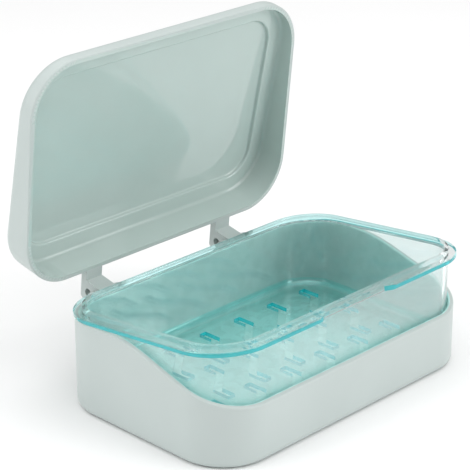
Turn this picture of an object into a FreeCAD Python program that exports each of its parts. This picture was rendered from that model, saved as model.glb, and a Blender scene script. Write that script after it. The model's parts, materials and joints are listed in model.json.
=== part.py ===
"""Travel soap box: a tub with hinge ears, a clear drain tray hung on its rim, and a lid on two pins.

Frame: millimetres, +Z up, X along the long side, Y towards the hinges, origin at the centre of the
underside of the tub. The joint between tub and lid slopes: its front edge is higher than its back.
The lid is drawn closed and then turned about the pins to its open stop.
"""
import FreeCAD
import Part
import Sketcher
import math
import os

SIZES = (
    ("body_length", 129.2, "tub, outside length"),
    ("body_depth", 83.4, "tub, outside depth"),
    ("body_corner", 19.0, "tub, outside radius of the upright corners"),
    ("base_wall", 2.0, "tub, wall"),
    ("base_floor", 2.4, "tub, floor"),
    ("foot_round", 2.5, "tub, rounding of the outside bottom edge"),
    ("floor_round", 1.5, "tub, rounding inside along the floor"),
    ("rim_round", 0.6, "tub, rounding of the rim's edges"),
    ("parting_height", 37.1, "height of the flange's underside above the middle of the tub"),
    ("parting_angle", 5.9, "slope of the flange, in degrees, rising to the front"),
    ("front_rim_height", 21.5, "height of the rim along the front"),
    ("swoop_angle", 16.2, "slope of the rim's fall to the front, in degrees"),
    ("swoop_radius", 66.0, "radius of the bend at the top of that fall"),
    ("flange_overhang", 0.4, "flange, reach past the tub's outside"),
    ("flange_thickness", 1.8, "flange, thickness"),
    ("flange_round", 0.4, "flange, rounding of its outside edges"),
    ("collar_rise", 1.6, "tray, rise of its wall above the flange"),
    ("collar_round", 0.4, "tray, rounding of its wall's upper edges"),
    ("tray_gap", 0.5, "play between the tray and the tub's wall"),
    ("tray_wall", 1.6, "tray, wall"),
    ("tray_floor", 1.6, "tray, floor"),
    ("tray_lift", 5.0, "drip space between the tub's floor and the tray"),
    ("tray_round", 4.0, "tray, rounding of the outside bottom edge"),
    ("notch_length", 30.6, "finger notch in the front of the flange, length of its straight side"),
    ("notch_depth", 2.1, "finger notch, depth"),
    ("notch_round", 10.0, "finger notch, radius of the curves at its ends"),
    ("notch_runout", 0.3, "finger notch, reach of these curves past the flange's front"),
    ("slot_width", 3.0, "drain slot, width"),
    ("slot_link", 13.0, "drain slot, length of its middle run between the two bends"),
    ("slot_link_angle", 41.0, "drain slot, angle of the middle run from the long side, in degrees"),
    ("slot_end", 6.8, "drain slot, length of each end run"),
    ("slot_end_angle", 90.0, "drain slot, angle of the end runs from the long side, in degrees"),
    ("slot_columns", 6, "drain slots in a row"),
    ("slot_pitch", 17.8, "distance from slot to slot along a row"),
    ("slot_rows", 3, "rows of drain slots"),
    ("slot_row_pitch", 20.0, "distance from row to row"),
    ("slot_shift", 1.6, "distance of the middle row's centre in front of the tray's middle"),
    ("lid_overhang", 0.1, "lid, reach past the tub's outside"),
    ("lid_wall", 1.8, "lid, wall"),
    ("shoulder_height", 49.2, "lid, height of its shoulder when closed"),
    ("shoulder_round", 3.0, "lid, rounding of the shoulder"),
    ("plateau_inset", 7.0, "lid, distance of the raised panel from the outside"),
    ("plateau_rise", 1.5, "lid, rise of the raised panel"),
    ("plateau_round", 1.0, "lid, rounding of the raised panel"),
    ("step_wall", 1.5, "lid, thickness of the step round the raised panel"),
    ("recess_round", 0.7, "lid, roundings of the step inside"),
    ("lid_rim_round", 0.5, "lid, rounding of the rim's outside edge"),
    ("closing_gap", 0.15, "gap between the closed lid and the flange"),
    ("pivot_setback", 7.35, "pin axis behind the tub's back"),
    ("pivot_drop", 6.0, "pin axis below the flange's underside at the tub's back"),
    ("open_angle", 77.8, "angle of the lid's open stop from closed, in degrees"),
    ("arm_spacing", 65.4, "distance between the middles of the two hinge arms"),
    ("arm_width", 7.4, "hinge arm, width"),
    ("arm_gap", 3.45, "gap between a hinge arm and the tub's back"),
    ("arm_neck", 2.7, "hinge arm, thickness where it leaves the lid"),
    ("arm_round", 1.5, "hinge arm, rounding of its upper back corner"),
    ("stop_height", 3.0, "hinge arm, height of the heel that meets the tub's back"),
    ("stop_gap", 0.05, "gap left at the heel when the lid is open"),
    ("core_radius", 1.5, "hinge arm, radius of its core hole"),
    ("core_back", 6.05, "core hole behind the pin axis when the lid is open"),
    ("core_up", 0.9, "core hole above the pin axis when the lid is open"),
    ("pin_radius", 1.5, "hinge pin, radius"),
    ("pin_chamfer", 0.3, "hinge pin, chamfer of its ends"),
    ("pin_clearance", 0.05, "running clearance of the arm on its pin, on radius"),
    ("ear_thickness", 2.2, "hinge ear, thickness"),
    ("ear_radius", 3.6, "hinge ear, radius round the pin"),
    ("ear_gap", 0.3, "play between an ear and the arm"),
    ("cut_margin", 5.0, "reach of a cut past what it cuts"),
)

doc = FreeCAD.newDocument("travel_soap_box")
dims = doc.addObject("Spreadsheet::Sheet", "dims")
for row, (alias, number, note) in enumerate(SIZES, start=1):
    dims.set(f"A{row}", note)
    dims.set(f"B{row}", str(number))
    dims.setAlias(f"B{row}", alias)
doc.recompute()

# The sloping plane of the joint, and the places that follow from the sheet.
SLOPE = "tan(dims.parting_angle * 1deg)"
UPRIGHT = "cos(dims.parting_angle * 1deg)"
BACK = "dims.body_depth / 2"
FLANGE_TOP = f"dims.parting_height + dims.flange_thickness / {UPRIGHT}"
COLLAR_TOP = f"dims.parting_height + (dims.flange_thickness + dims.collar_rise) / {UPRIGHT}"
LID_RIM = f"dims.parting_height + (dims.flange_thickness + dims.closing_gap) / {UPRIGHT}"
FRONT_RISE = f"({BACK} + dims.flange_overhang) * {SLOPE}"
PIVOT_Y = f"{BACK} + dims.pivot_setback"
PIVOT_Z = f"dims.parting_height - {BACK} * {SLOPE} - dims.pivot_drop"
ARM_X = "dims.arm_spacing / 2"
EAR_X = "dims.arm_width / 2 + dims.ear_gap + dims.ear_thickness / 2"
KNUCKLE = "dims.pivot_setback - dims.arm_gap"

TRAY_INSET = "(dims.base_wall + dims.tray_gap)"
TRAY_LENGTH = f"dims.body_length - 2 * {TRAY_INSET}"
TRAY_DEPTH = f"dims.body_depth - 2 * {TRAY_INSET}"
TRAY_CORNER = f"dims.body_corner - {TRAY_INSET}"
TRAY_BOTTOM = "dims.base_floor + dims.tray_lift"

LID_LENGTH = "dims.body_length + 2 * dims.lid_overhang"
LID_DEPTH = "dims.body_depth + 2 * dims.lid_overhang"
LID_CORNER = "dims.body_corner + dims.lid_overhang"
LID_BACK = f"({LID_DEPTH}) / 2"
LID_CEILING = "dims.shoulder_height - dims.lid_wall"


def value(expression):
    """The number that an expression of the sheet stands for."""
    result = dims.evalExpression(expression)
    return float(getattr(result, "Value", result))


def bind(item, **expressions):
    """Tie properties of an object to expressions; a double underscore stands for a dot."""
    for name, expression in expressions.items():
        item.setExpression(name.replace("__", "."), expression)


def new_body(label):
    body = doc.addObject("PartDesign::Body", label)
    body.Label = label
    return body


def new_sketch(body, name, role, **offsets):
    """A sketch on one of the body's origin planes, moved by offsets given as expressions."""
    plane = next(item for item in body.Origin.OriginFeatures if item.Role == role)
    sketch = body.newObject("Sketcher::SketchObject", name)
    sketch.AttachmentSupport = [(plane, "")]
    sketch.MapMode = "FlatFace"
    for axis, expression in offsets.items():
        sketch.setExpression(f"AttachmentOffset.Base.{axis}", expression)
    return sketch


def sloping_sketch(body, name, height):
    """A sketch parallel to the flange, crossing the middle of the box at the given height."""
    sketch = new_sketch(body, name, "XY_Plane", z=height)
    tilt = FreeCAD.Rotation(FreeCAD.Vector(-1, 0, 0), value("dims.parting_angle"))
    sketch.AttachmentOffset = FreeCAD.Placement(FreeCAD.Vector(0, 0, value(height)), tilt)
    bind(sketch, AttachmentOffset__Rotation__Angle="dims.parting_angle")
    return sketch


def turned_sketch(body, name, across):
    """A sketch centred on the pin axis whose axes are level and upright once the lid is open."""
    sketch = new_sketch(body, name, "YZ_Plane")
    turn = FreeCAD.Rotation(FreeCAD.Vector(0, 0, 1), value("dims.open_angle"))
    place = FreeCAD.Vector(value(PIVOT_Y), value(PIVOT_Z), value(across))
    sketch.AttachmentOffset = FreeCAD.Placement(place, turn)
    bind(sketch, AttachmentOffset__Base__x=PIVOT_Y, AttachmentOffset__Base__y=PIVOT_Z,
         AttachmentOffset__Base__z=across, AttachmentOffset__Rotation__Angle="dims.open_angle")
    return sketch


def dimension(sketch, constraint, name, expression):
    index = sketch.addConstraint(constraint)
    sketch.renameConstraint(index, name)
    sketch.setExpression(f"Constraints.{name}", expression)


def pin_point(sketch, geometry, end, name, across, along):
    """Hold one end of a line or arc at a place given by two expressions."""
    origin = (-1, 1)
    for kind, expression in (("DistanceX", across), ("DistanceY", along)):
        constraint = Sketcher.Constraint(kind, *origin, geometry, end, value(expression))
        dimension(sketch, constraint, f"{name}_{kind[-1]}", expression)


def draw_rounded_rectangle(sketch, length, depth, corner):
    """A centred rectangle with round corners."""
    a, b, r = value(length) / 2, value(depth) / 2, value(corner)
    ends = ((-a + r, -b, a - r, -b), (a, -b + r, a, b - r), (a - r, b, -a + r, b), (-a, b - r, -a, -b + r))
    centres = ((a - r, -b + r), (a - r, b - r), (-a + r, b - r), (-a + r, -b + r))
    up = FreeCAD.Vector(0, 0, 1)
    for side, (x0, y0, x1, y1) in enumerate(ends):
        sketch.addGeometry(Part.LineSegment(FreeCAD.Vector(x0, y0, 0), FreeCAD.Vector(x1, y1, 0)), False)
        circle = Part.Circle(FreeCAD.Vector(*centres[side], 0), up, r)
        start = math.radians(270 + 90 * side)
        sketch.addGeometry(Part.ArcOfCircle(circle, start, start + math.pi / 2), False)
    for side in range(4):
        line, arc, following = 2 * side, 2 * side + 1, (2 * side + 2) % 8
        sketch.addConstraint(Sketcher.Constraint("Tangent", line, 2, arc, 1))
        sketch.addConstraint(Sketcher.Constraint("Tangent", arc, 2, following, 1))
        sketch.addConstraint(Sketcher.Constraint("Vertical" if side % 2 else "Horizontal", line))
    for arc in (3, 5, 7):
        sketch.addConstraint(Sketcher.Constraint("Equal", 1, arc))
    sketch.addConstraint(Sketcher.Constraint("Symmetric", 0, 1, 4, 1, -1, 1))
    dimension(sketch, Sketcher.Constraint("DistanceX", 6, 1, 2, 1, 2 * a), "length", length)
    dimension(sketch, Sketcher.Constraint("DistanceY", 0, 1, 4, 1, 2 * b), "depth", depth)
    dimension(sketch, Sketcher.Constraint("Radius", 1, r), "corner", corner)


def arc_between(start, end, radius):
    """The shorter arc from start to end, turning to the right if the radius is negative."""
    chord = end - start
    side = math.copysign(1, radius)
    left = FreeCAD.Vector(-chord.y, chord.x, 0).normalize()
    rise = math.sqrt(max(radius ** 2 - (chord.Length / 2) ** 2, 0))
    centre = (start + end) / 2 + left * (side * rise)
    middle = centre - left * (side * abs(radius))
    return Part.Arc(start, middle, end)


def draw_outline(sketch, points, rounds=None):
    """A closed outline through points given as expressions.

    rounds gives, for some of the sides, the radius of an arc in place of the straight line and
    whether it turns left (1) or right (-1) on its way to the next point.
    """
    rounds = rounds or {}
    places = [FreeCAD.Vector(value(across), value(along), 0) for across, along in points]
    count = len(points)
    for side in range(count):
        start, end = places[side], places[(side + 1) % count]
        if side in rounds:
            radius, turn = rounds[side]
            sketch.addGeometry(arc_between(start, end, turn * value(radius)), False)
        else:
            sketch.addGeometry(Part.LineSegment(start, end), False)
    forward = [sketch.Geometry[side].StartPoint.isEqual(places[side], 1e-6) for side in range(count)]
    for side in range(count):
        following = (side + 1) % count
        end = 2 if forward[side] else 1
        start = 1 if forward[following] else 2
        sketch.addConstraint(Sketcher.Constraint("Coincident", side, end, following, start))
    for side, (across, along) in enumerate(points):
        pin_point(sketch, side, 1 if forward[side] else 2, f"corner{side}", across, along)
    for side, (radius, turn) in rounds.items():
        dimension(sketch, Sketcher.Constraint("Radius", side, value(radius)), f"bend{side}", radius)


def draw_box(sketch, left, right, low, high):
    draw_outline(sketch, ((left, low), (right, low), (right, high), (left, high)))


def draw_circle(sketch, radius, across="0", along="0"):
    centre = FreeCAD.Vector(value(across), value(along), 0)
    circle = sketch.addGeometry(Part.Circle(centre, FreeCAD.Vector(0, 0, 1), value(radius)), False)
    pin_point(sketch, circle, 3, "middle", across, along)
    dimension(sketch, Sketcher.Constraint("Radius", circle, value(radius)), "size", radius)


def pad(body, sketch, length, symmetric=False):
    feature = body.newObject("PartDesign::Pad", f"{sketch.Name}_pad")
    feature.Profile = sketch
    feature.SideType = "Symmetric" if symmetric else "One side"
    bind(feature, Length=length)
    doc.recompute()
    return feature


def pocket(body, sketch, length=None, symmetric=False, upward=False):
    """Cut a sketch through the body, against its normal unless upward is set."""
    before = body.Shape.Volume
    feature = body.newObject("PartDesign::Pocket", f"{sketch.Name}_pocket")
    feature.Profile = sketch
    feature.SideType = "Symmetric" if symmetric else "One side"
    feature.Reversed = upward
    if length is None:
        feature.Type = "ThroughAll"
    else:
        bind(feature, Length=length)
    doc.recompute()
    if not body.Shape.Volume < before:
        raise RuntimeError(f"{feature.Name} cuts nothing")
    return feature


def round_edges(body, name, radius, wanted):
    """Round the edges of the body's last feature whose points all pass the test."""
    base = body.Tip
    names = []
    for number, edge in enumerate(base.Shape.Edges, start=1):
        points = edge.discretize(5)
        if all(wanted(point) for point in points):
            names.append(f"Edge{number}")
    feature = body.newObject("PartDesign::Fillet", name)
    feature.Base = (base, names)
    bind(feature, Radius=radius)
    doc.recompute()
    return feature


def at_height(height):
    level = value(height)
    return lambda point: abs(point.z - level) < 1e-4


def on_sloping_edge(height, length, depth, corner, inset):
    """A test for points on a plane parallel to the flange and no further in than inset from an outline."""
    level, slope = value(height), value(SLOPE)
    half_x, half_y, radius = value(length) / 2, value(depth) / 2, value(corner)
    limit = value(inset)

    def test(point):
        past_x = abs(point.x) - half_x + radius
        past_y = abs(point.y) - half_y + radius
        outside = math.hypot(max(past_x, 0), max(past_y, 0)) + min(max(past_x, past_y), 0) - radius
        return outside > -limit and abs(point.z - level + slope * point.y) < 1e-3

    return test


def mirror(body, name, features):
    """The same features on the other side of the box's middle plane."""
    feature = body.newObject("PartDesign::Mirrored", name)
    plane = next(item for item in body.Origin.OriginFeatures if item.Role == "YZ_Plane")
    feature.Originals = features
    feature.MirrorPlane = (plane, [""])
    body.Tip = feature
    doc.recompute()
    return feature


def draw_swoop(sketch):
    """All that lies above the tub's rim: along the flange at the back, falling to the front."""
    fall = "tan(dims.swoop_angle * 1deg)"
    bend_y = f"(dims.parting_height - dims.front_rim_height - {fall} * {BACK}) / ({SLOPE} + {fall})"
    bend_z = f"dims.parting_height - {SLOPE} * ({bend_y})"
    turn = "(dims.parting_angle + dims.swoop_angle) / 2 * 1deg"
    reach = f"dims.swoop_radius * tan({turn})"
    end = f"({BACK} + dims.cut_margin)"
    top = f"dims.parting_height + {FRONT_RISE} + dims.cut_margin"
    points = (
        (end, f"dims.parting_height - {SLOPE} * {end}"),
        (f"{bend_y} + {reach} * cos(dims.parting_angle * 1deg)",
         f"{bend_z} - {reach} * sin(dims.parting_angle * 1deg)"),
        (f"{bend_y} - {reach} * cos(dims.swoop_angle * 1deg)",
         f"{bend_z} - {reach} * sin(dims.swoop_angle * 1deg)"),
        (f"-{end}", f"dims.front_rim_height - {fall} * dims.cut_margin"),
        (f"-{end}", top),
        (end, top),
    )
    draw_outline(sketch, points, {1: ("dims.swoop_radius", 1)})


def rim_height(across):
    """Height of the tub's rim at a distance from the middle, measured along Y."""
    fall = math.tan(math.radians(value("dims.swoop_angle")))
    slope = value(SLOPE)
    radius = value("dims.swoop_radius")
    back_line = value("dims.parting_height") - slope * across
    front_line = value("dims.front_rim_height") + fall * (across + value(BACK))
    drop = value("dims.parting_height") - value("dims.front_rim_height")
    bend = (drop - fall * value(BACK)) / (slope + fall)
    half_turn = math.radians(value("dims.parting_angle") + value("dims.swoop_angle")) / 2
    reach = radius * math.tan(half_turn)
    first = bend + reach * math.cos(math.radians(value("dims.parting_angle")))
    last = bend - reach * math.cos(math.radians(value("dims.swoop_angle")))
    if last < across < first:
        tilt = math.radians(value("dims.parting_angle"))
        centre_y = first - radius * math.sin(tilt)
        centre_z = value("dims.parting_height") - slope * first - radius * math.cos(tilt)
        return centre_z + math.sqrt(radius ** 2 - (across - centre_y) ** 2)
    return min(back_line, front_line)


def make_base():
    """The tub: shell, swooping rim, and two pairs of ears for the hinge pins."""
    body = new_body("base_shell")
    outline = new_sketch(body, "tub_outline", "XY_Plane")
    draw_rounded_rectangle(outline, "dims.body_length", "dims.body_depth", "dims.body_corner")
    pad(body, outline, f"dims.parting_height + {FRONT_RISE}")
    round_edges(body, "foot_rounding", "dims.foot_round", at_height("0"))

    hollow = new_sketch(body, "tub_hollow", "XY_Plane", z="dims.base_floor")
    inner = [f"{size} - 2 * dims.base_wall" for size in ("dims.body_length", "dims.body_depth")]
    draw_rounded_rectangle(hollow, *inner, "dims.body_corner - dims.base_wall")
    pocket(body, hollow, upward=True)
    round_edges(body, "floor_rounding", "dims.floor_round", at_height("dims.base_floor"))

    swoop = new_sketch(body, "tub_swoop", "YZ_Plane")
    draw_swoop(swoop)
    pocket(body, swoop, "dims.body_length + 2 * dims.cut_margin", symmetric=True)
    round_edges(body, "rim_rounding", "dims.rim_round",
                lambda point: abs(point.z - rim_height(point.y)) < 0.01)

    ears = []
    for name, side in (("outer", "+"), ("inner", "-")):
        ear = new_sketch(body, f"{name}_ear", "YZ_Plane", z=f"{ARM_X} {side} ({EAR_X})")
        wall = f"{BACK} - dims.base_wall / 2"
        low, high = f"{PIVOT_Z} - dims.ear_radius", f"{PIVOT_Z} + dims.ear_radius"
        tip = (f"{PIVOT_Y} + dims.ear_radius", PIVOT_Z)
        points = ((wall, low), (PIVOT_Y, low), tip, (PIVOT_Y, high), (wall, high))
        draw_outline(ear, points, {1: ("dims.ear_radius", 1), 2: ("dims.ear_radius", 1)})
        ears.append(pad(body, ear, "dims.ear_thickness", symmetric=True))
    mirror(body, "hinge_sides", ears)
    bore = new_sketch(body, "pin_bore", "YZ_Plane", x=PIVOT_Y, y=PIVOT_Z)
    draw_circle(bore, "dims.pin_radius")
    pocket(body, bore, "dims.body_length", symmetric=True)
    return body


def draw_notch(sketch):
    """The finger notch's outline: at both ends the flange's edge curves in to its straight side."""
    front = f"-({BACK} + dims.flange_overhang) / {UPRIGHT}"
    bottom = f"{front} + dims.notch_depth"
    start = f"{front} - dims.notch_runout"
    rise = "(dims.notch_depth + dims.notch_runout)"
    inner = "dims.notch_length / 2"
    outer = f"({inner} + sqrt(2 * dims.notch_round * {rise} - {rise} ^ 2))"
    low = f"{start} - dims.cut_margin"
    points = (
        (outer, low), (f"-{outer}", low), (f"-{outer}", start), (f"-{inner}", bottom), (inner, bottom),
        (outer, start),
    )
    draw_outline(sketch, points, {2: ("dims.notch_round", 1), 4: ("dims.notch_round", 1)})


def draw_zigzag(sketch, across, along):
    """A drain slot with two bends, the same when turned half round its centre."""
    half = "dims.slot_width / 2"
    link = "dims.slot_link_angle * 1deg"
    end = "dims.slot_end_angle * 1deg"
    lean = "(dims.slot_link_angle - dims.slot_end_angle) / 2 * 1deg"
    corner = f"{half} / sin((dims.slot_link_angle + dims.slot_end_angle) / 2 * 1deg)"
    bend = (f"dims.slot_link / 2 * cos({link})", f"dims.slot_link / 2 * sin({link})")
    tip = (f"{bend[0]} - dims.slot_end * cos({end})", f"{bend[1]} + dims.slot_end * sin({end})")
    outer_half = (
        (f"{bend[0]} + {corner} * cos({lean})", f"{bend[1]} + {corner} * sin({lean})"),
        (f"{tip[0]} + {half} * sin({end})", f"{tip[1]} + {half} * cos({end})"),
        (f"{tip[0]} - {half} * sin({end})", f"{tip[1]} - {half} * cos({end})"),
        (f"{bend[0]} - {corner} * cos({lean})", f"{bend[1]} - {corner} * sin({lean})"),
    )
    points = [(f"{across} {sign} ({x})", f"{along} {sign} ({y})") for sign in "+-" for x, y in outer_half]
    draw_outline(sketch, points)


def make_tray():
    """The clear tray: cup, collar, sloping flange with its finger notch, and rows of drain slots."""
    body = new_body("drain_tray")
    outline = new_sketch(body, "tray_outline", "XY_Plane", z=TRAY_BOTTOM)
    draw_rounded_rectangle(outline, TRAY_LENGTH, TRAY_DEPTH, TRAY_CORNER)
    pad(body, outline, f"{COLLAR_TOP} + {FRONT_RISE} - ({TRAY_BOTTOM})")
    round_edges(body, "tray_rounding", "dims.tray_round", at_height(TRAY_BOTTOM))

    above = sloping_sketch(body, "above_collar", COLLAR_TOP)
    half_length = "(dims.body_length / 2 + dims.cut_margin)"
    half_depth = f"({BACK} + dims.cut_margin)"
    draw_box(above, f"-{half_length}", half_length, f"-{half_depth}", half_depth)
    pocket(body, above, upward=True)

    flange = sloping_sketch(body, "flange", "dims.parting_height")
    draw_rounded_rectangle(flange, "dims.body_length + 2 * dims.flange_overhang",
                           f"(dims.body_depth + 2 * dims.flange_overhang) / {UPRIGHT}",
                           "dims.body_corner + dims.flange_overhang")
    pad(body, flange, "dims.flange_thickness")
    tub = ("dims.body_length", "dims.body_depth", "dims.body_corner")
    for name, height in (("upper", FLANGE_TOP), ("lower", "dims.parting_height")):
        round_edges(body, f"{name}_flange_rounding", "dims.flange_round",
                    on_sloping_edge(height, *tub, f"{TRAY_INSET} / 2"))
    notch = sloping_sketch(body, "finger_notch", "dims.parting_height")
    draw_notch(notch)
    pocket(body, notch, upward=True)

    hollow = new_sketch(body, "tray_hollow", "XY_Plane", z=f"{TRAY_BOTTOM} + dims.tray_floor")
    inner = [f"{size} - 2 * dims.tray_wall" for size in (TRAY_LENGTH, TRAY_DEPTH)]
    draw_rounded_rectangle(hollow, *inner, f"{TRAY_CORNER} - dims.tray_wall")
    pocket(body, hollow, upward=True)
    round_edges(body, "hollow_rounding", "dims.tray_round - dims.tray_wall",
                at_height(f"{TRAY_BOTTOM} + dims.tray_floor"))
    round_edges(body, "collar_rounding", "dims.collar_round",
                on_sloping_edge(COLLAR_TOP, *tub, f"{TRAY_INSET} + 2 * dims.tray_wall"))

    slot = new_sketch(body, "drain_slot", "XY_Plane", z=TRAY_BOTTOM)
    row_length = "(dims.slot_columns - 1) * dims.slot_pitch"
    rows_depth = "(dims.slot_rows - 1) * dims.slot_row_pitch"
    draw_zigzag(slot, f"-{row_length} / 2", f"-{rows_depth} / 2 - dims.slot_shift")
    cut = pocket(body, slot, "2 * dims.tray_floor", upward=True)
    slots = body.newObject("PartDesign::LinearPattern", "drain_slots")
    slots.Originals = [cut]
    slots.Direction = (slot, ["H_Axis"])
    slots.Direction2 = (slot, ["V_Axis"])
    bind(slots, Length=row_length, Occurrences="dims.slot_columns", Length2=rows_depth,
         Occurrences2="dims.slot_rows")
    body.Tip = slots
    doc.recompute()
    return body


def make_lid():
    """The lid, drawn closed: shell with a raised panel, sloping rim, and two hinge arms."""
    body = new_body("lid_shell")
    low = f"(dims.parting_height - {FRONT_RISE} - dims.cut_margin)"
    outline = new_sketch(body, "lid_outline", "XY_Plane", z=low)
    draw_rounded_rectangle(outline, LID_LENGTH, LID_DEPTH, LID_CORNER)
    pad(body, outline, f"dims.shoulder_height - {low}")
    round_edges(body, "shoulder_rounding", "dims.shoulder_round", at_height("dims.shoulder_height"))

    panel = new_sketch(body, "raised_panel", "XY_Plane", z="dims.shoulder_height")
    inset = [f"{size} - 2 * dims.plateau_inset" for size in (LID_LENGTH, LID_DEPTH)]
    draw_rounded_rectangle(panel, *inset, f"{LID_CORNER} - dims.plateau_inset")
    pad(body, panel, "dims.plateau_rise")
    round_edges(body, "panel_rounding", "dims.plateau_round",
                at_height("dims.shoulder_height + dims.plateau_rise"))

    below = sloping_sketch(body, "below_rim", LID_RIM)
    half_length = "(dims.body_length / 2 + dims.cut_margin)"
    half_depth = f"({BACK} + dims.cut_margin)"
    draw_box(below, f"-{half_length}", half_length, f"-{half_depth}", half_depth)
    pocket(body, below)

    hollow = new_sketch(body, "lid_hollow", "XY_Plane", z=LID_CEILING)
    inner = [f"{size} - 2 * dims.lid_wall" for size in (LID_LENGTH, LID_DEPTH)]
    draw_rounded_rectangle(hollow, *inner, f"{LID_CORNER} - dims.lid_wall")
    pocket(body, hollow)
    round_edges(body, "ceiling_rounding", "dims.shoulder_round - dims.lid_wall", at_height(LID_CEILING))
    recess = new_sketch(body, "panel_recess", "XY_Plane", z=LID_CEILING)
    inset = [f"{size} - 2 * (dims.plateau_inset + dims.step_wall)" for size in (LID_LENGTH, LID_DEPTH)]
    draw_rounded_rectangle(recess, *inset, f"{LID_CORNER} - dims.plateau_inset - dims.step_wall")
    pocket(body, recess, "dims.plateau_rise", upward=True)
    round_edges(body, "recess_rounding", "dims.recess_round", at_height(f"{LID_CEILING} + dims.plateau_rise"))
    round_edges(body, "step_rounding", "dims.recess_round", at_height(LID_CEILING))

    round_edges(body, "lid_rim_rounding", "dims.lid_rim_round",
                on_sloping_edge(LID_RIM, LID_LENGTH, LID_DEPTH, LID_CORNER, "dims.lid_wall / 2"))

    arm = new_sketch(body, "hinge_arm", "YZ_Plane", z=ARM_X)
    root = f"{LID_BACK} - dims.lid_wall / 2"
    front, back = f"{BACK} + dims.arm_gap", f"{PIVOT_Y} + {KNUCKLE}"
    tangent = "dims.arm_round * tan((90 - dims.parting_angle) / 2 * 1deg)"
    top = f"{LID_RIM} + dims.arm_neck"
    points = (
        (root, f"{LID_RIM} - ({root}) * {SLOPE}"), (front, f"{LID_RIM} - ({front}) * {SLOPE}"),
        (front, PIVOT_Z), (PIVOT_Y, f"{PIVOT_Z} - ({KNUCKLE})"), (back, PIVOT_Z),
        (back, f"{top} - ({back}) * {SLOPE} - {tangent}"),
        (f"{back} - {tangent} * {UPRIGHT}", f"{top} - ({back} - {tangent} * {UPRIGHT}) * {SLOPE}"),
        (root, f"{top} - ({root}) * {SLOPE}"),
    )
    draw_outline(arm, points, {2: (KNUCKLE, 1), 3: (KNUCKLE, 1), 5: ("dims.arm_round", 1)})
    parts = [pad(body, arm, "dims.arm_width", symmetric=True)]
    heel = turned_sketch(body, "stop_heel", ARM_X)
    draw_box(heel, "-(dims.pivot_setback - dims.stop_gap)", "0", "-dims.stop_height", "0")
    parts.append(pad(body, heel, "dims.arm_width", symmetric=True))
    mirror(body, "arms", parts)
    for name, radius, across, along in (("arm_bore", "dims.pin_radius + dims.pin_clearance", "0", "0"),
                                        ("arm_core", "dims.core_radius", "dims.core_back", "dims.core_up")):
        hole = turned_sketch(body, name, "0")
        draw_circle(hole, radius, across, along)
        pocket(body, hole, "dims.body_length", symmetric=True)
    centre = f"vector(0; {PIVOT_Y}; {PIVOT_Z})"
    bind(body, Placement=f"placement(vector(0; 0; 0); rotation(vector(1; 0; 0); -dims.open_angle); {centre})")
    return body


def make_pin(label, side):
    """A hinge pin, pressed into its two ears and flush with them."""
    body = new_body(label)
    middle = f"{side} * {ARM_X}"
    section = new_sketch(body, f"{label}_section", "YZ_Plane", x=PIVOT_Y, y=PIVOT_Z, z=middle)
    draw_circle(section, "dims.pin_radius")
    rod = pad(body, section, f"2 * ({EAR_X}) + dims.ear_thickness", symmetric=True)
    ends = [f"Edge{number}" for number, edge in enumerate(rod.Shape.Edges, start=1) if edge.Closed]
    chamfer = body.newObject("PartDesign::Chamfer", f"{label}_ends")
    chamfer.Base = (rod, ends)
    bind(chamfer, Size="dims.pin_chamfer")
    return body


pins = [make_pin("hinge_pin_left", -1), make_pin("hinge_pin_right", 1)]
pieces = [make_base(), make_tray(), make_lid(), *pins]
doc.recompute()

for item in doc.Objects:
    if {"Invalid", "Error"} & set(item.State):
        raise RuntimeError(f"{item.Name} failed: {item.State}")
for piece in pieces:
    if piece.Shape.isNull() or not piece.Shape.isValid() or len(piece.Shape.Solids) != 1:
        raise RuntimeError(f"{piece.Label} is not one valid solid")

os.makedirs("parts", exist_ok=True)
for piece in pieces:
    piece.Shape.exportStep(f"parts/{piece.Label}.step")
    box = piece.Shape.BoundBox
    print(f"{piece.Label}: {piece.Shape.Volume / 1000:.1f} cm3, X {box.XMin:.1f} to {box.XMax:.1f}, "
          f"Y {box.YMin:.1f} to {box.YMax:.1f}, Z {box.ZMin:.1f} to {box.ZMax:.1f}")
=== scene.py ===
import json
import math

import bpy
from mathutils import Matrix, Vector

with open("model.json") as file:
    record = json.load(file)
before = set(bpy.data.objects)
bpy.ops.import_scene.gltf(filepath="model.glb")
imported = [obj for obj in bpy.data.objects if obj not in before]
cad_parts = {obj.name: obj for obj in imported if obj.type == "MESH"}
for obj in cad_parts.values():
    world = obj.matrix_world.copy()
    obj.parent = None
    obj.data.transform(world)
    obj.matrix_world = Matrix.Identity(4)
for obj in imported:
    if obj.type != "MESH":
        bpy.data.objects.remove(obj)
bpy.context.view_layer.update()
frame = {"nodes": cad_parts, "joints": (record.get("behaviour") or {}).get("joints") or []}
nodes = frame["nodes"]
scene = bpy.context.scene


def new_material(name):
    material = bpy.data.materials.new(name)
    material.use_nodes = True
    tree = material.node_tree
    return material, tree, tree.nodes["Principled BSDF"]


def add_node(tree, kind, **inputs):
    node = tree.nodes.new(kind)
    for key, content in inputs.items():
        node.inputs[key].default_value = content
    return node


def noise(tree, scale, detail=2.0):
    """Noise that stays with the object's own coordinates."""
    place = tree.nodes.new("ShaderNodeTexCoord")
    texture = add_node(tree, "ShaderNodeTexNoise", Scale=scale, Detail=detail)
    tree.links.new(place.outputs["Object"], texture.inputs["Vector"])
    return texture.outputs["Fac"]


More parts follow.
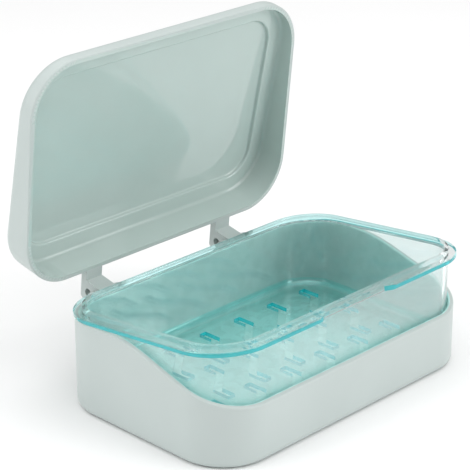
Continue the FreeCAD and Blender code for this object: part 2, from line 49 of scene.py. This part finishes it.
def vary(tree, factor, low, high, target):
    """Spread a texture between two values, or two colours, on a shader socket."""
    if isinstance(low, tuple):
        ramp = tree.nodes.new("ShaderNodeValToRGB")
        ramp.color_ramp.elements[0].position = 0.3
        ramp.color_ramp.elements[1].position = 0.7
        ramp.color_ramp.elements[0].color = (*low, 1)
        ramp.color_ramp.elements[1].color = (*high, 1)
        tree.links.new(factor, ramp.inputs["Fac"])
        tree.links.new(ramp.outputs["Color"], target)
        return
    spread = tree.nodes.new("ShaderNodeMapRange")
    spread.inputs["From Min"].default_value = 0.3
    spread.inputs["From Max"].default_value = 0.7
    spread.inputs["To Min"].default_value = low
    spread.inputs["To Max"].default_value = high
    tree.links.new(factor, spread.inputs["Value"])
    tree.links.new(spread.outputs["Result"], target)


def grain(tree, shader, scale, strength, depth):
    bump = add_node(tree, "ShaderNodeBump", Strength=strength, Distance=depth)
    tree.links.new(noise(tree, scale), bump.inputs["Height"])
    tree.links.new(bump.outputs["Normal"], shader.inputs["Normal"])


def moulded_plastic(name, low, high, rough_low, rough_high, bump, index=1.5):
    material, tree, shader = new_material(name)
    vary(tree, noise(tree, 40), low, high, shader.inputs["Base Color"])
    vary(tree, noise(tree, 220), rough_low, rough_high, shader.inputs["Roughness"])
    grain(tree, shader, 2600, bump, 0.0001)
    shader.inputs["IOR"].default_value = index
    return material


def clear_plastic(name, low, high, clearness=1.0, rough_low=0.01, rough_high=0.03):
    """Clear plastic with a polished skin: the tint is what one wall takes from the light; the edge, slot
    and bend versions also carry painted shade and painted highlight in that colour.
    """
    material, tree, shader = new_material(name)
    vary(tree, noise(tree, 30), low, high, shader.inputs["Base Color"])
    vary(tree, noise(tree, 120), rough_low, rough_high, shader.inputs["Roughness"])
    shader.inputs["IOR"].default_value = 1.06
    shader.inputs["Transmission Weight"].default_value = clearness
    shader.inputs["Coat Weight"].default_value = 1.0
    shader.inputs["Coat Roughness"].default_value = 0.03
    shader.inputs["Coat IOR"].default_value = 1.7
    return material


def drawn_steel(name):
    material, tree, shader = new_material(name)
    vary(tree, noise(tree, 300), (0.52, 0.53, 0.54), (0.62, 0.63, 0.64), shader.inputs["Base Color"])
    vary(tree, noise(tree, 900), 0.25, 0.4, shader.inputs["Roughness"])
    shader.inputs["Metallic"].default_value = 1.0
    return material


sage = moulded_plastic(
    "sage_plastic", (0.51, 0.575, 0.56), (0.53, 0.595, 0.58), 0.34, 0.42, 0.05)
polished_sage = moulded_plastic(
    "polished_sage_plastic", (0.50, 0.60, 0.57), (0.52, 0.62, 0.59), 0.02, 0.03, 0.01, 1.68)
# Brighter, tealer copy of the sage for the tub's inside: painted light standing in for the light that
# reaches the tub through the clear tray.
tub_inside_painted_light = moulded_plastic(
    "tub_inside_plastic", (0.505, 0.805, 0.765), (0.515, 0.815, 0.775), 0.25, 0.3, 0.01)
clear_wall = clear_plastic("clear_aqua_plastic", (0.90, 0.985, 0.98), (0.92, 0.99, 0.985), 0.88)
clear_rim = clear_plastic("clear_rim_plastic", (0.955, 0.993, 0.99), (0.965, 0.995, 0.992))
clear_floor = clear_plastic("clear_floor_plastic", (0.76, 0.985, 0.98), (0.80, 0.99, 0.985))
# Light cyan for the flange's upper rounding, the back- and right-facing edges and the floor's bends:
# painted highlight.
bend_painted_highlight = clear_plastic("clear_bend_plastic", (0.42, 0.91, 0.91), (0.48, 0.93, 0.93))
# Dark cyan for the flange's edge band: the aqua tint seen edge-on, deepened as painted shade.
edge_tint_and_painted_shade = clear_plastic(
    "aqua_edge_plastic", (0.002, 0.46, 0.50), (0.008, 0.50, 0.54), 0.45, 0.08, 0.12)
# Bright cyan for the slot walls: the aqua tint seen edge-on, brightened as painted highlight.
slot_painted_highlight = clear_plastic(
    "slot_edge_plastic", (0.02, 0.72, 0.80), (0.04, 0.76, 0.84), 0.4, 0.05, 0.08)
steel = drawn_steel("pin_steel")


def paint(node, *materials):
    nodes[node].data.materials.clear()
    for material in materials:
        nodes[node].data.materials.append(material)


paint("base_shell", sage, tub_inside_painted_light)
paint("lid_shell", sage, polished_sage)
paint("drain_tray", clear_wall, clear_rim, edge_tint_and_painted_shade, slot_painted_highlight, clear_floor, bend_painted_highlight)
paint("hinge_pin_left", steel)
paint("hinge_pin_right", steel)
INSIDE = 1
RIM, EDGE, SLOT, FLOOR, BEND = range(1, 6)

# The joint's closing turn takes the lid's points to where they are on the closed box.
hinge = frame["joints"][0]
pivot = Matrix.Translation(hinge["pos_m"])
closing = pivot @ Matrix.Rotation(math.radians(hinge["range_deg"][1]), 4, "X") @ pivot.inverted()
HALF_LENGTH, HALF_DEPTH, CORNER = 0.0646, 0.0417, 0.019


def past_side(place):
    """Distance of a point outside the upright walls of the tub, negative inside."""
    past = Vector((abs(place.x) - HALF_LENGTH + CORNER, abs(place.y) - HALF_DEPTH + CORNER))
    corner = Vector((max(past.x, 0), max(past.y, 0))).length
    return corner + min(max(past), 0) - CORNER


# The lid's inside has a polished finish of its own; the tub's inside gets a brighter, tealer copy of the
# sage, which is painted light.
WALL_MIDDLE = -0.0012
LID_CEILING = 0.0490
TUB_FLOOR = 0.0023
for face in nodes["lid_shell"].data.polygons:
    place = closing @ face.center
    if past_side(place) < WALL_MIDDLE and place.z < LID_CEILING:
        face.material_index = INSIDE
# The tub's inside faces take the brighter copy of the sage: painted light.
for face in nodes["base_shell"].data.polygons:
    if past_side(face.center) < WALL_MIDDLE and face.center.z > TUB_FLOOR:
        face.material_index = INSIDE

# The tray's narrow faces carry its aqua tint seen edge-on together with painted shade and painted
# highlight: a dark cyan band along the flange's edge, a painted lighter cyan highlight on its upper
# rounding, on the back- and right-facing edges and on the floor's bends, and a bright cyan painted
# highlight on the slot walls. The floor takes more tint than the walls.
FLANGE_UNDERSIDE, BAND_TOP = 0.0370, 0.0386
FLANGE_SLOPE = math.tan(math.radians(5.9))
SLOT_FIELD = Vector((0.0540, 0.0340))
NOTCH_STRAIGHT, NOTCH_MOUTH, NOTCH_BOTTOM = 0.0153, 0.0225, -0.0395
TRAY_UNDERSIDE, TRAY_FLOOR, BEND_TOP = 0.0074, 0.0090, 0.0114
for face in nodes["drain_tray"].data.polygons:
    place, facing = face.center, face.normal
    level = place.z + FLANGE_SLOPE * place.y
    in_field = abs(place.x) < SLOT_FIELD.x and abs(place.y) < SLOT_FIELD.y
    in_notch = place.y < NOTCH_BOTTOM and NOTCH_STRAIGHT < abs(place.x) < NOTCH_MOUTH
    notch_end = in_notch and level > FLANGE_UNDERSIDE and abs(facing.z) < 0.3
    if past_side(place) > 0 or notch_end:
        # Edges facing back or right, and the band above BAND_TOP, are painted lighter as a highlight; the
        # rest of the edge gets the dark band's painted shade.
        back_or_right_painted_lighter = facing.y > 0.3 or facing.x > 0.85
        face.material_index = EDGE if level < BAND_TOP and not back_or_right_painted_lighter else BEND
    elif level > FLANGE_UNDERSIDE:
        face.material_index = RIM
    # Slot walls get the bright cyan painted highlight.
    elif in_field and TRAY_UNDERSIDE < place.z < TRAY_FLOOR and abs(facing.z) < 0.2:
        face.material_index = SLOT
    elif min(abs(place.z - TRAY_UNDERSIDE), abs(place.z - TRAY_FLOOR)) < 0.0001:
        face.material_index = FLOOR
    # The floor's bends get the light cyan painted highlight.
    elif TRAY_FLOOR < place.z < BEND_TOP and 0.1 < facing.z < 0.99:
        face.material_index = BEND


def plane(name, size, height):
    half = size / 2
    mesh = bpy.data.meshes.new(name)
    corners = [(-half, -half, height), (half, -half, height), (half, half, height), (-half, half, height)]
    mesh.from_pydata(corners, [], [(0, 1, 2, 3)])
    shape = bpy.data.objects.new(name, mesh)
    scene.collection.objects.link(shape)
    return shape


def area_light(name, place, target, side, power):
    lamp = bpy.data.lights.new(name, "AREA")
    lamp.size, lamp.energy = side, power
    holder = bpy.data.objects.new(name, lamp)
    holder.location = place
    holder.rotation_euler = (Vector(target) - Vector(place)).to_track_quat("-Z", "Y").to_euler()
    scene.collection.objects.link(holder)


floor = plane("floor", 12.0, -0.0002)
paper, paper_tree, paper_shader = new_material("floor_paper")
vary(paper_tree, noise(paper_tree, 3), (0.93, 0.93, 0.93), (0.95, 0.95, 0.95),
     paper_shader.inputs["Base Color"])
paper_shader.inputs["Roughness"].default_value = 0.9
floor.data.materials.append(paper)

world = bpy.data.worlds.new("studio")
world.use_nodes = True
world.node_tree.nodes["Background"].inputs["Color"].default_value = (1, 1, 1, 1)
world.node_tree.nodes["Background"].inputs["Strength"].default_value = 0.38
scene.world = world
area_light("top", (0, 0, 1.5), (0, 0, 0), 2.4, 23)
area_light("left", (-0.95, 0.45, 0.50), (0, 0, 0.05), 0.7, 4)
area_light("right", (0.45, -0.95, 0.50), (0, 0, 0.05), 0.7, 5)
scene.view_settings.view_transform = "Standard"

# The camera stands at the photograph's viewpoint.
IMAGE_SIDE, FOCAL_PIXELS, MIDDLE = 470, 1899.7, (235.93, 235.15)
SENSOR = 36.0
YAW, PITCH, ROLL = math.radians(45.54), math.radians(-22.54), math.radians(-0.20)
camera_data = bpy.data.cameras.new("camera")
camera_data.sensor_width = SENSOR
camera_data.lens = FOCAL_PIXELS / IMAGE_SIDE * SENSOR
camera_data.shift_x = (IMAGE_SIDE / 2 - MIDDLE[0]) / IMAGE_SIDE
camera_data.shift_y = (MIDDLE[1] - IMAGE_SIDE / 2) / IMAGE_SIDE
camera_data.clip_start, camera_data.clip_end = 0.01, 50
camera = bpy.data.objects.new("camera", camera_data)
heading = Matrix.Rotation(-YAW, 4, "Z")
tilt = Matrix.Rotation(math.pi / 2 + PITCH, 4, "X") @ Matrix.Rotation(ROLL, 4, "Z")
camera.matrix_world = Matrix.Translation((-0.44372, -0.41930, 0.30838)) @ heading @ tilt
scene.collection.objects.link(camera)
scene.camera = camera
